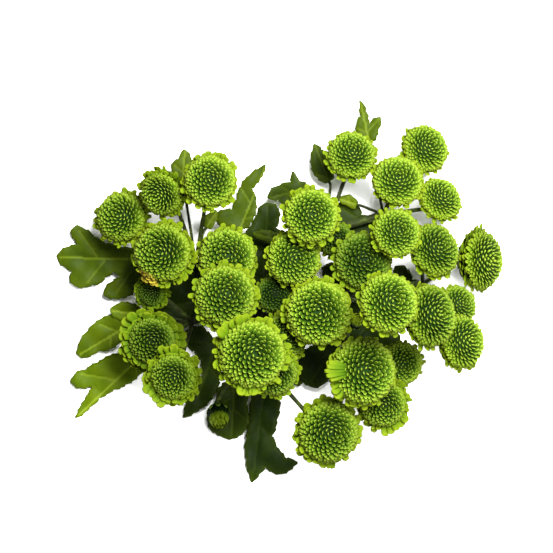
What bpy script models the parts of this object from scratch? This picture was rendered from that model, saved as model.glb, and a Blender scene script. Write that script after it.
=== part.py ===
"""A cut spray of green pompon chrysanthemums, face up.

Thirty-three button heads and two buds stand on one branching stem, cut short under its first fork,
with lobed leaves between and round them. Metres, +Z up, the heads look up, the surface is z = 0.
"""

import math

import bmesh
import bpy
import numpy as np
from mathutils import Vector
from mathutils.geometry import delaunay_2d_cdt

# The photograph looks straight down, so a place is a pixel of it (x right, y down) and a height.
SPRAY_WIDTH = 0.2874
SPRAY_WIDTH_PX = 449.0
SCALE = SPRAY_WIDTH / SPRAY_WIDTH_PX
MIDDLE_PX = (278.5, 291.5)

GAP = 0.0003
LEAF_SEAT_GAP = 0.0005
HEAD_FLATNESS = 0.60
HEAD_CLEARANCE = 1.03
LIFT_RIM = 0.010
LIFT_MIDDLE = 0.030
LIFT_CENTRE_PX = (290.0, 285.0)
LIFT_REACH_PX = 205.0
LEAF_THICKNESS = 0.0008
STALK_RADIUS = 0.0013
LIMB_RADIUS = 0.0024
PETIOLE_RADIUS = 0.0009
BUD_PETALS = 5

# Each head: pixel of its middle, radius in pixels, how far its axis leans right and up the picture, and
# the share of its radius that the dome of quilled florets takes up.
# They are listed from the lowest to the highest, and each one rests just clear of those before it.
HEADS = {
    "bloom_19": (482, 260, 33, 0.86, 0.02, 0.86),
    "bloom_31": (336, 240, 19.5, 0.00, 0.00, 0.84),
    "bloom_09": (274, 294, 20, 0.15, 0.00, 0.84),
    "bloom_05": (151, 293, 19, -0.15, -0.25, 0.64),
    "bloom_23": (458.5, 305.5, 22.5, 0.50, 0.25, 0.85),
    "bloom_30": (284, 337, 26, 0.20, 0.15, 0.82),
    "bloom_32": (275, 373, 26.5, 0.20, -0.20, 0.80),
    "bloom_28": (151, 341, 33, 0.08, -0.06, 0.68),
    "bloom_01": (120.5, 217, 29, -0.27, 0.21, 0.82),
    "bloom_14": (426, 148, 26.5, 0.42, 0.28, 0.87),
    "bloom_13": (352, 155, 27, 0.06, 0.36, 0.85),
    "bloom_02": (161.5, 193.5, 27, -0.40, -0.30, 0.76),
    "bloom_33": (461.5, 342, 30, 0.70, 0.08, 0.86),
    "bloom_27": (402, 364, 23.5, 0.20, -0.10, 0.85),
    "bloom_26": (383, 404, 28.5, 0.10, -0.20, 0.78),
    "bloom_25": (328, 432, 35.5, 0.25, -0.08, 0.82),
    "bloom_20": (363, 261, 31.5, 0.19, 0.10, 0.85),
    "bloom_10": (294, 258, 29.5, 0.28, -0.03, 0.87),
    "bloom_06": (227, 257, 31.5, 0.00, 0.06, 0.85),
    "bloom_16": (441, 199, 24.5, 0.42, 0.42, 0.87),
    "bloom_18": (434.5, 250, 29.5, 0.52, 0.28, 0.87),
    "bloom_22": (428.5, 315.5, 34, 0.72, 0.10, 0.87),
    "bloom_29": (173, 377, 29.5, -0.05, -0.08, 0.72),
    "bloom_15": (398, 181, 27.5, 0.09, 0.32, 0.87),
    "bloom_03": (210, 181, 29.5, 0.05, 0.10, 0.82),
    "bloom_04": (162.5, 253, 33.5, -0.23, 0.09, 0.82),
    "bloom_17": (396, 233, 26.5, 0.27, 0.16, 0.85),
    "bloom_11": (311, 216, 30.5, 0.18, 0.09, 0.84),
    "bloom_12": (318.5, 313, 35.5, 0.00, 0.04, 0.86),
    "bloom_07": (225, 296, 34.5, 0.14, 0.12, 0.82),
    "bloom_21": (387, 303, 32.5, 0.38, 0.13, 0.87),
    "bloom_24": (363, 371, 36, 0.33, 0.02, 0.87),
    "bloom_08": (252, 354, 38.5, 0.25, -0.04, 0.82),
}
HEAD_ON_SURFACE = "bloom_19"

# Each bud: pixel of its middle, radius in pixels, lean of its axis, height in metres.
BUDS = {
    "bud_1": (218, 417, 13, 0.10, -0.70, 0.016),
    "bud_2": (357, 321, 9, 0.25, 0.30, 0.045),
}

# The forks: pixel and height in metres. The first is the cut end.
FORKS = {
    "cut": (262, 302, 0.000),
    "trunk": (262, 302, 0.011),
    "left": (195, 262, 0.017),
    "lower_left": (192, 322, 0.013),
    "front": (250, 350, 0.015),
    "right": (338, 296, 0.021),
    "upper": (326, 232, 0.024),
    "upper_right": (384, 214, 0.026),
    "far_right": (424, 284, 0.020),
    "lower_right": (350, 352, 0.018),
}
LIMBS = (
    ("trunk", "left"),
    ("trunk", "lower_left"),
    ("trunk", "front"),
    ("trunk", "right"),
    ("trunk", "upper"),
    ("upper", "upper_right"),
    ("right", "far_right"),
    ("right", "lower_right"),
)
STALKS = {
    "left": ("bloom_01", "bloom_02", "bloom_03", "bloom_04", "bloom_06"),
    "lower_left": ("bloom_05", "bloom_28", "bloom_29", "bloom_07"),
    "front": ("bloom_08", "bloom_32", "bloom_25", "bud_1", "bloom_30"),
    "right": ("bloom_12", "bloom_21", "bloom_20", "bloom_09", "bud_2"),
    "upper": ("bloom_10", "bloom_11", "bloom_31", "bloom_13"),
    "upper_right": ("bloom_14", "bloom_15", "bloom_16", "bloom_17"),
    "far_right": ("bloom_18", "bloom_19", "bloom_22", "bloom_23", "bloom_33"),
    "lower_right": ("bloom_24", "bloom_26", "bloom_27"),
}

# Each leaf: fork it grows from, heights of its base and tip, tip pixel, then its outline in pixels from
# one side of its base round to the other. Its midrib runs from the middle of its base to its tip.
LEAVES = {
    "leaf_01": ("left", 0.0075, 0.0008, (54, 257), (
        (140, 251), (121, 247), (104, 243), (92, 236), (84, 229), (73, 225), (68, 232), (76, 244),
        (59, 249), (54, 257), (60, 266), (70, 271), (67, 278), (69, 284), (81, 288), (90, 285),
        (97, 284), (103, 278), (111, 272), (120, 276), (104, 286), (102, 296), (111, 299),
        (126, 297), (137, 288), (141, 268))),
    "leaf_02": ("lower_left", 0.0065, 0.0030, (75, 357), (
        (126, 321), (108, 315), (93, 323), (86, 331), (79, 339), (74, 355), (81, 359), (96, 352),
        (108, 350), (120, 341), (127, 331))),
    "leaf_03": ("lower_left", 0.0050, 0.0005, (73, 420), (
        (132, 353), (116, 354), (96, 363), (84, 370), (73, 374), (68, 384), (76, 390), (92, 387),
        (83, 400), (73, 420), (88, 409), (97, 400), (112, 391), (124, 386), (136, 378), (143, 366))),
    "leaf_04": ("lower_left", 0.0100, 0.0085, (108, 311), (
        (141, 310), (131, 304), (118, 303), (108, 311), (113, 318), (126, 321), (140, 320))),
    "leaf_05": ("lower_left", 0.0060, 0.0045, (146, 310), (
        (197, 292), (204, 282), (207, 268), (199, 257), (189, 263), (187, 277), (168, 281),
        (155, 286), (148, 296), (146, 310), (152, 320), (166, 328), (182, 330), (197, 312))),
    "leaf_06": ("front", 0.0060, 0.0030, (196, 402), (
        (212, 338), (200, 326), (188, 329), (178, 340), (186, 347), (193, 352), (200, 361),
        (202, 376), (192, 391), (182, 420), (199, 411), (212, 398), (219, 382), (221, 362), (220, 348))),
    "leaf_07": ("front", 0.0060, 0.0030, (231, 441), (
        (228, 381), (216, 392), (217, 404), (206, 416), (208, 430), (219, 438), (231, 441),
        (243, 435), (249, 424), (246, 406), (248, 394), (240, 382))),
    "leaf_08": ("front", 0.0085, 0.0005, (252, 485), (
        (258, 380), (251, 400), (250, 420), (246, 440), (246, 461), (248, 475), (252, 485),
        (259, 477), (265, 470), (278, 477), (288, 474), (298, 464), (286, 460), (277, 449),
        (272, 438), (277, 422), (280, 402), (272, 383))),
    "leaf_09": ("front", 0.0050, 0.0040, (302, 386), (
        (281, 366), (292, 368), (301, 374), (304, 383), (297, 387), (289, 383), (282, 376))),
    "leaf_10": ("left", 0.0150, 0.0120, (184, 148), (
        (177, 178), (171, 171), (171, 162), (177, 158), (184, 148), (190, 155), (191, 168),
        (188, 178))),
    "leaf_11": ("left", 0.0170, 0.0160, (266, 164), (
        (234, 228), (222, 227), (213, 217), (222, 209), (231, 209), (236, 199), (240, 186),
        (248, 175), (257, 168), (266, 164), (261, 177), (252, 188), (256, 200), (254, 216),
        (246, 228))),
    "leaf_12": ("trunk", 0.0060, 0.0080, (268, 202), (
        (256, 290), (246, 281), (242, 264), (248, 249), (243, 236), (251, 226), (257, 214),
        (260, 205), (268, 202), (277, 205), (280, 216), (276, 227), (285, 237), (280, 250),
        (286, 263), (279, 277), (268, 290))),
    "leaf_13": ("upper", 0.0130, 0.0110, (268, 198), (
        (306, 181), (300, 180), (292, 170), (291, 181), (280, 184), (270, 189), (268, 198),
        (278, 199), (285, 204), (295, 201), (304, 194))),
    "leaf_14": ("upper", 0.0140, 0.0130, (315, 142), (
        (324, 182), (314, 173), (311, 159), (315, 142), (322, 148), (328, 152), (332, 164),
        (334, 178))),
    "leaf_15": ("upper_right", 0.0120, 0.0110, (361, 98), (
        (364, 140), (356, 126), (361, 115), (361, 98), (367, 109), (370, 122), (376, 116),
        (382, 115), (380, 127), (376, 140))),
    "leaf_16": ("upper_right", 0.0220, 0.0210, (338, 198), (
        (358, 200), (348, 194), (338, 198), (345, 204), (356, 208))),
    "leaf_17": ("left", 0.0205, 0.0205, (217, 210), (
        (203, 225), (206, 214), (217, 210), (215, 221), (209, 229))),
    "leaf_18": ("upper", 0.0230, 0.0210, (252, 233), (
        (283, 237), (268, 230), (252, 233), (264, 240), (281, 245))),
    "leaf_19": ("upper_right", 0.0180, 0.0170, (337, 204), (
        (372, 236), (352, 238), (338, 232), (335, 218), (337, 204), (348, 199), (358, 203),
        (362, 214), (374, 220))),
    "leaf_20": ("right", 0.0090, 0.0070, (350, 350), (
        (372, 306), (358, 300), (352, 286), (343, 270), (331, 262), (322, 269), (329, 284),
        (338, 297), (341, 310), (336, 324), (336, 338), (350, 350), (368, 348), (390, 350),
        (402, 342), (396, 328), (384, 318))),
    "leaf_21": ("far_right", 0.0100, 0.0090, (395, 268), (
        (413, 275), (404, 265), (395, 268), (396, 279), (403, 287), (412, 286))),
    "leaf_22": ("trunk", 0.0060, 0.0050, (303, 344), (
        (269, 314), (254, 316), (238, 312), (228, 320), (236, 332), (252, 340), (270, 343),
        (288, 348), (303, 344), (304, 328), (296, 314), (281, 307))),
    "leaf_23": ("lower_right", 0.0090, 0.0070, (308, 387), (
        (334, 340), (316, 345), (304, 352), (298, 366), (301, 379), (308, 387), (320, 388),
        (329, 380), (337, 366), (341, 350))),
}

LOOKS = {
    "head": ((0.22, 0.42, 0.010, 1.0), 0.55),
    "bud": ((0.16, 0.30, 0.012, 1.0), 0.55),
    "leaf": ((0.045, 0.115, 0.012, 1.0), 0.45),
    "stalk": ((0.07, 0.13, 0.022, 1.0), 0.55),
}


def material(name):
    """One Principled material from the colours above."""
    colour, roughness = LOOKS[name]
    made = bpy.data.materials.new(name)
    made.use_nodes = True
    shader = made.node_tree.nodes["Principled BSDF"]
    shader.inputs["Base Color"].default_value = colour
    shader.inputs["Roughness"].default_value = roughness
    shader.inputs["Metallic"].default_value = 0.0
    return made


def place(x, y):
    """The real place of a pixel of the photograph."""
    return np.array(((x - MIDDLE_PX[0]) * SCALE, (MIDDLE_PX[1] - y) * SCALE))


def axis_of(lean_x, lean_y):
    """The unit axis of a head that leans this far right and up the picture."""
    return np.array((lean_x, lean_y, math.sqrt(1.0 - lean_x ** 2 - lean_y ** 2)))


def half_extent(axis, radius, ways):
    """How far a head reaches from its middle in each of the given directions."""
    wide = HEAD_CLEARANCE * radius
    thick = wide * HEAD_FLATNESS
    along = ways @ axis
    return np.sqrt(wide ** 2 * (1.0 - along ** 2) + thick ** 2 * along ** 2)


def upward_ways(count):
    """Directions spread evenly over the upper half of a ball."""
    steps = np.arange(count) + 0.5
    height = steps / count
    turn = steps * math.pi * (3.0 - math.sqrt(5.0))
    wide = np.sqrt(1.0 - height ** 2)
    return np.stack((wide * np.cos(turn), wide * np.sin(turn), height), axis=1)


def settle_heads():
    """Stack the heads from the lowest up, each as low as its lift and the heads before it allow."""
    ways = upward_ways(1500)
    settled = {}
    for name, (px, py, radius_px, lean_x, lean_y, _) in HEADS.items():
        spot = place(px, py)
        radius = radius_px * SCALE
        axis = axis_of(lean_x, lean_y)
        reach = half_extent(axis, radius, ways)
        down = half_extent(axis, radius, np.array(((0.0, 0.0, 1.0),)))[0]
        from_middle = math.dist((px, py), LIFT_CENTRE_PX) / LIFT_REACH_PX
        lift = LIFT_RIM + LIFT_MIDDLE * max(0.0, 1.0 - from_middle ** 2)
        if name == HEAD_ON_SURFACE:
            lift = -0.0008
        height = lift + down
        for other_spot, other_radius, other_axis in settled.values():
            apart = spot - other_spot[:2]
            if np.hypot(*apart) > HEAD_CLEARANCE * (radius + other_radius):
                continue
            other_reach = half_extent(other_axis, other_radius, ways)
            rise = (reach + other_reach - ways[:, :2] @ apart) / ways[:, 2]
            height = max(height, other_spot[2] + rise.min())
        settled[name] = (np.array((spot[0], spot[1], height)), radius, axis)
    return settled


def underside(heads, x, y, margin):
    """The height of the lowest head surface over a place, or a large number where there is none."""
    lowest = 1.0
    for spot, radius, axis in heads.values():
        wide = HEAD_CLEARANCE * radius + margin
        thick = HEAD_CLEARANCE * HEAD_FLATNESS * radius + margin
        slim = 1.0 / thick ** 2 - 1.0 / wide ** 2
        dx = x - spot[0]
        dy = y - spot[1]
        flat = axis[0] * dx + axis[1] * dy
        a = 1.0 / wide ** 2 + slim * axis[2] ** 2
        b = 2.0 * slim * flat * axis[2]
        c = (dx ** 2 + dy ** 2) / wide ** 2 + slim * flat ** 2 - 1.0
        root = b ** 2 - 4.0 * a * c
        if root > 0.0:
            lowest = min(lowest, spot[2] + (-b - math.sqrt(root)) / (2.0 * a))
    return lowest


def new_object(name, builder, look):
    """Turn a bmesh into a smooth-shaded object with its own material."""
    bmesh.ops.recalc_face_normals(builder, faces=builder.faces)
    mesh = bpy.data.meshes.new(name)
    builder.to_mesh(mesh)
    builder.free()
    mesh.materials.append(look)
    made = bpy.data.objects.new(name, mesh)
    bpy.context.scene.collection.objects.link(made)
    return made


def stand(made, spot, axis):
    """Put an object modelled along +Z at its spot, along its axis."""
    turn = Vector((0.0, 0.0, 1.0)).rotation_difference(Vector(axis))
    made.rotation_mode = "QUATERNION"
    made.rotation_quaternion = turn
    made.location = Vector(spot)


def lattice_ring(builder, count, angle, wide, tall, turn, first_tip, relief):
    """One ring of floret tips and the hollows between them, on a dome."""
    ring = []
    for index in range(count):
        phi = 2.0 * math.pi * (index + turn) / count
        reach = 1.0 if (index + first_tip) % 2 == 0 else relief
        ring.append(builder.verts.new((
            reach * wide * math.sin(angle) * math.cos(phi),
            reach * wide * math.sin(angle) * math.sin(phi),
            reach * tall * math.cos(angle))))
    return ring


def lattice_band(builder, lower, upper, first_tip):
    """Two rings joined so that every tip stands on four faces."""
    count = len(lower)
    for index in range(count):
        after = (index + 1) % count
        if (index + first_tip) % 2 == 0:
            builder.faces.new((lower[index], lower[after], upper[index]))
            builder.faces.new((lower[after], upper[after], upper[index]))
        else:
            builder.faces.new((lower[index], lower[after], upper[after]))
            builder.faces.new((lower[index], upper[after], upper[index]))


def make_head(name, radius, look):
    """A pompon head: a dome of quilled florets in spirals over a ring of flat ray petals."""
    petals = 11 if radius > 0.0215 else 10 if radius > 0.0175 else 9 if radius > 0.0145 else 8
    bands = 6
    dome = HEADS[name][5] * radius
    tall = HEAD_FLATNESS * radius
    twist = 0.5
    count = 2 * petals
    builder = bmesh.new()
    rings = []
    for step in range(bands + 1):
        angle = 2.0 * math.atan(math.exp(-step * 2.0 * math.pi / count))
        rings.append(lattice_ring(builder, count, angle, dome, tall, twist * step, step, 0.89))
    for step in range(bands):
        lattice_band(builder, rings[step], rings[step + 1], step)
    top = builder.verts.new((0.0, 0.0, 0.98 * tall))
    for index in range(count):
        builder.faces.new((rings[-1][index], rings[-1][(index + 1) % count], top))

    def at(turn, wide, height):
        phi = 2.0 * math.pi * turn / count
        return builder.verts.new((wide * math.cos(phi), wide * math.sin(phi), height))

    droop = -0.10 * radius
    notches = [at(2 * j - 1, 0.90 * radius, droop) for j in range(petals)]
    lefts = [at(2 * j - 0.45, radius, 0.4 * droop) for j in range(petals)]
    rights = [at(2 * j + 0.45, 0.98 * radius, droop) for j in range(petals)]
    backs = [at(2 * j - 1, 0.72 * radius, -0.36 * radius) for j in range(petals)]
    seats = [at(2 * j - 1, 0.20 * radius, -0.97 * tall) for j in range(petals)]
    for j in range(petals):
        after = (j + 1) % petals
        before_vert = rings[0][2 * j - 1]
        tip_vert = rings[0][2 * j]
        after_vert = rings[0][2 * j + 1]
        for corners in (
            (before_vert, lefts[j], tip_vert),
            (before_vert, notches[j], lefts[j]),
            (tip_vert, lefts[j], rights[j]),
            (tip_vert, rights[j], after_vert),
            (after_vert, rights[j], notches[after]),
            (notches[j], backs[j], lefts[j]),
            (lefts[j], backs[j], rights[j]),
            (rights[j], backs[after], notches[after]),
            (rights[j], backs[j], backs[after]),
            (backs[j], seats[j], backs[after]),
            (backs[after], seats[j], seats[after]),
        ):
            builder.faces.new(corners)
    builder.faces.new(seats)
    return new_object(name, builder, look)


def make_bud(name, radius, look):
    """A closed bud: a pointed ball of overlapping petal ridges."""
    count = 2 * BUD_PETALS
    angles = (2.65, 2.05, 1.45, 0.90, 0.42)
    builder = bmesh.new()
    rings = []
    for step, angle in enumerate(angles):
        rings.append(lattice_ring(builder, count, angle, radius, 1.15 * radius, 0.0, step, 0.88))
    for step in range(len(rings) - 1):
        lattice_band(builder, rings[step], rings[step + 1], step)
    builder.faces.new(rings[0])
    builder.faces.new(rings[-1])
    bmesh.ops.triangulate(builder, faces=[face for face in builder.faces if len(face.verts) > 3])
    return new_object(name, builder, look)


def leaf_base(outline_px):
    """The middle of the edge where a leaf meets its stalk."""
    return 0.5 * (place(*outline_px[0]) + place(*outline_px[-1]))


def leaf_height(spot, base, tip, base_height, tip_height):
    """The height of a leaf's top: an even fall from base to tip, with its halves raised a little."""
    along = tip - base
    length = np.hypot(*along)
    way = along / length
    rel = spot - base
    run = float(np.clip(rel @ way / length, 0.0, 1.0))
    across = abs(rel[0] * way[1] - rel[1] * way[0])
    return base_height + (tip_height - base_height) * run + 0.10 * across


def make_leaf(name, heads, look):
    """A lobed leaf: one thin plate on its traced outline, creased along its midrib."""
    _, base_height, tip_height, tip_px, outline_px = LEAVES[name]
    base = leaf_base(outline_px)
    tip = place(*tip_px)
    flat = [place(*point) for point in outline_px]
    ribs = [base + (tip - base) * part for part in (0.12, 0.36, 0.60, 0.82)]
    edge_count = len(flat)
    loop = [list(range(edge_count))]
    result = delaunay_2d_cdt([Vector(p) for p in flat + ribs], [], loop, 1, 1e-6)
    corners = [np.array(p) for p in result[0]]
    heights = [leaf_height(p, base, tip, base_height, tip_height) for p in corners]
    room = [underside(heads, p[0], p[1], 0.0012) for p in corners]
    sunk = max(0.0, max(high - top for high, top in zip(heights, room)))
    sunk = min(sunk, min(heights) - LEAF_THICKNESS)
    builder = bmesh.new()
    uppers = []
    lowers = []
    for spot, high in zip(corners, heights):
        uppers.append(builder.verts.new((spot[0], spot[1], high - sunk)))
        lowers.append(builder.verts.new((spot[0], spot[1], high - sunk - LEAF_THICKNESS)))
    edges = {}
    for face in result[2]:
        builder.faces.new([uppers[i] for i in face])
        builder.faces.new([lowers[i] for i in reversed(face)])
        for start, end in zip(face, face[1:] + face[:1]):
            edges[(start, end)] = True
    for start, end in edges:
        if (end, start) not in edges:
            builder.faces.new((uppers[end], uppers[start], lowers[start], lowers[end]))
    bmesh.ops.triangulate(builder, faces=[face for face in builder.faces if len(face.verts) > 3])
    return new_object(name, builder, look), sunk


def clear_route(points, heads, radius, own):
    """Bend a route clear of the heads and the surface, with both its ends left where they are."""
    route = np.array(points)
    last = len(route) - 2
    for _ in range(120):
        middle = 0.5 * (route[:-2] + route[2:])
        route[1:-1] += 0.25 * (middle - route[1:-1])
        route[last] = points[last]
        for name, (spot, head_radius, axis) in heads.items():
            wide = HEAD_CLEARANCE * head_radius + radius + 0.0008
            thick = HEAD_CLEARANCE * HEAD_FLATNESS * head_radius + radius + 0.0008
            for index in range(1, last):
                rel = route[index] - spot
                along = rel @ axis
                side = rel - along * axis
                depth = math.sqrt((along / thick) ** 2 + (side @ side) / wide ** 2)
                if depth < 1.0:
                    push = side / wide ** 2 + along * axis / thick ** 2
                    push[2] = min(push[2], 0.0) if name == own else push[2]
                    route[index] += push / np.linalg.norm(push) * (1.0 - depth) * thick
        route[1:-1, 2] = np.maximum(route[1:-1, 2], radius + 0.0006)
    return route


def curve_between(start, end, way, count):
    """Points of a smooth curve that leaves its start straight up and meets its end along a way."""
    span = np.linalg.norm(end - start)
    lead = start + np.array((0.0, 0.0, 0.25 * span))
    follow = end - way * 0.35 * span
    points = []
    for step in range(count):
        t = step / (count - 1)
        points.append((1 - t) ** 3 * start + 3 * (1 - t) ** 2 * t * lead
                      + 3 * (1 - t) * t ** 2 * follow + t ** 3 * end)
    return points


def make_tube(name, route, radii, sides):
    """A closed tube along a route, with a radius at each of its points."""
    builder = bmesh.new()
    rings = []
    side_way = Vector((1.0, 0.0, 0.0))
    for index, point in enumerate(route):
        before = Vector(route[max(index - 1, 0)])
        after = Vector(route[min(index + 1, len(route) - 1)])
        way = (after - before).normalized()
        side_way = (side_way - way * side_way.dot(way)).normalized()
        up_way = way.cross(side_way)
        ring = []
        for side in range(sides):
            phi = 2.0 * math.pi * side / sides
            off = side_way * math.cos(phi) + up_way * math.sin(phi)
            ring.append(builder.verts.new(Vector(point) + off * radii[index]))
        rings.append(ring)
    for lower, upper in zip(rings, rings[1:]):
        for side in range(sides):
            after = (side + 1) % sides
            builder.faces.new((lower[side], lower[after], upper[after], upper[side]))
    builder.faces.new(list(reversed(rings[0])))
    builder.faces.new(rings[-1])
    bmesh.ops.triangulate(builder, faces=builder.faces)
    return new_object(name, builder, bpy.data.materials["stalk"])


def fork_at(name):
    """The real place of a fork."""
    px, py, height = FORKS[name]
    return np.array((*place(px, py), height))


def stem_tubes(heads, buds, leaf_drops):
    """Every limb, flower stalk and leaf stalk, as tubes that run into each other at the forks."""
    tubes = []
    for start_name, end_name in LIMBS:
        start = fork_at(start_name)
        end = fork_at(end_name)
        count = 3
        straight = [start + (end - start) * step / (count - 1) for step in range(count)]
        tubes.append(make_tube("limb", straight, [LIMB_RADIUS] * count, 5))
    for fork, names in STALKS.items():
        start = fork_at(fork)
        for name in names:
            spot, radius, axis = heads[name] if name in heads else buds[name]
            seat = 0.97 * HEAD_FLATNESS * radius if name in heads else 1.15 * radius * 0.885
            end = spot - axis * (seat + GAP)
            neck = end - axis * 0.0035
            points = curve_between(start, neck, axis, 5) + [end]
            obstacles = {key: heads[key] for key in heads if key != name}
            route = clear_route(points, obstacles, STALK_RADIUS, name)
            cup = 0.19 * radius if name in heads else 0.40 * radius
            radii = [STALK_RADIUS] * (len(route) - 1) + [cup]
            tubes.append(make_tube("stalk", route, radii, 5))
    for name, (fork, base_height, _, tip_px, outline_px) in LEAVES.items():
        start = fork_at(fork)
        base = leaf_base(outline_px)
        edge = place(*outline_px[-1]) - place(*outline_px[0])
        inward = np.array((edge[1], -edge[0])) / np.hypot(*edge)
        inward = inward * np.sign(inward @ (base - place(*tip_px)))
        height = base_height - leaf_drops[name] - 0.5 * LEAF_THICKNESS
        end = np.array((*(base + inward * LEAF_SEAT_GAP), height))
        way = np.array((-inward[0], -inward[1], 0.0))
        points = curve_between(start, end - way * 0.003, way, 4) + [end]
        route = clear_route(points, heads, PETIOLE_RADIUS, "")
        tubes.append(make_tube("petiole", route, [PETIOLE_RADIUS] * len(route), 3))
    return tubes


def join_tubes(tubes, trunk):
    """One Boolean union of all tubes with the trunk, applied, and the tubes removed."""
    group = bpy.data.collections.new("tubes")
    bpy.context.scene.collection.children.link(group)
    for tube in tubes:
        group.objects.link(tube)
    union = trunk.modifiers.new("union", "BOOLEAN")
    union.operation = "UNION"
    union.operand_type = "COLLECTION"
    union.collection = group
    union.solver = "MANIFOLD"
    bpy.context.view_layer.update()
    graph = bpy.context.evaluated_depsgraph_get()
    joined = bpy.data.meshes.new_from_object(trunk.evaluated_get(graph))
    trunk.modifiers.clear()
    trunk.data = joined
    for tube in tubes:
        bpy.data.objects.remove(tube)
    bpy.data.collections.remove(group)


def main():
    for old in list(bpy.data.objects):
        bpy.data.objects.remove(old)
    looks = {name: material(name) for name in LOOKS}
    heads = settle_heads()
    for name, (spot, radius, axis) in heads.items():
        stand(make_head(name, radius, looks["head"]), spot, axis)
    buds = {}
    for name, (px, py, radius_px, lean_x, lean_y, height) in BUDS.items():
        spot = np.array((*place(px, py), height))
        buds[name] = (spot, radius_px * SCALE, axis_of(lean_x, lean_y))
        stand(make_bud(name, radius_px * SCALE, looks["bud"]), spot, buds[name][2])
    leaf_drops = {}
    for name in LEAVES:
        _, leaf_drops[name] = make_leaf(name, heads, looks["leaf"])
    foot = fork_at("cut")
    crown = fork_at("trunk") + np.array((0.0, 0.0, 0.002))
    trunk = make_tube("stem", [foot, 0.5 * (foot + crown), crown], [0.0036, 0.0034, 0.0032], 8)
    join_tubes(stem_tubes(heads, buds, leaf_drops), trunk)


main()
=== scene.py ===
import math
import random

import bpy
import numpy as np
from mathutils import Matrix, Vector
from mathutils.bvhtree import BVHTree
from mathutils.geometry import delaunay_2d_cdt


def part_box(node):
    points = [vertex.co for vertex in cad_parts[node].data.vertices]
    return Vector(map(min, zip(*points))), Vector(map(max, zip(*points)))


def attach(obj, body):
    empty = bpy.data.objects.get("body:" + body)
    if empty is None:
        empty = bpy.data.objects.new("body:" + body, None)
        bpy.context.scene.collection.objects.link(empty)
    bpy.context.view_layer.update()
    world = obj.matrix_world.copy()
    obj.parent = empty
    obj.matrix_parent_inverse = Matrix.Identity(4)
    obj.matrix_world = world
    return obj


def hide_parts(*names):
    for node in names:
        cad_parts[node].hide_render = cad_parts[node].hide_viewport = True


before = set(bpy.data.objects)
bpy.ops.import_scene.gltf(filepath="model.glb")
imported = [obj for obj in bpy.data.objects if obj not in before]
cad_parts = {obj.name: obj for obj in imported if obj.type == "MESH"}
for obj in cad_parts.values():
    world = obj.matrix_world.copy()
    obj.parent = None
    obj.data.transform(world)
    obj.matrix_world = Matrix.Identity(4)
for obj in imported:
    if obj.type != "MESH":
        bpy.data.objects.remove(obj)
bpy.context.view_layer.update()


# The pompon heads. Each is a receptacle packed with some 250 quilled florets in spirals, over two or
# three rows of flat ray petals. Every floret is its own gutter-shaped petal with a rounded, hooked tip.
# The heads stand where their solids stand: each rests just clear of the heads listed before it.
SPRAY_WIDTH = 0.2874
SPRAY_WIDTH_PX = 449.0
SCALE = SPRAY_WIDTH / SPRAY_WIDTH_PX
MIDDLE_PX = (278.5, 291.5)
HEAD_FLATNESS = 0.60
HEAD_CLEARANCE = 1.03
LIFT_RIM = 0.010
LIFT_MIDDLE = 0.030
LIFT_CENTRE_PX = (290.0, 285.0)
LIFT_REACH_PX = 205.0
SURFACE_SINK = 0.0008
SURFACE_GAP = 0.0002
FLORET_COUNT = 250
GOLDEN_TURN = math.pi * (3.0 - math.sqrt(5.0))
UP = np.array((0.0, 0.0, 1.0))

# The open petals reach this share of the solid head's radius.
HEAD_SPREAD = 1.035

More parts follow.
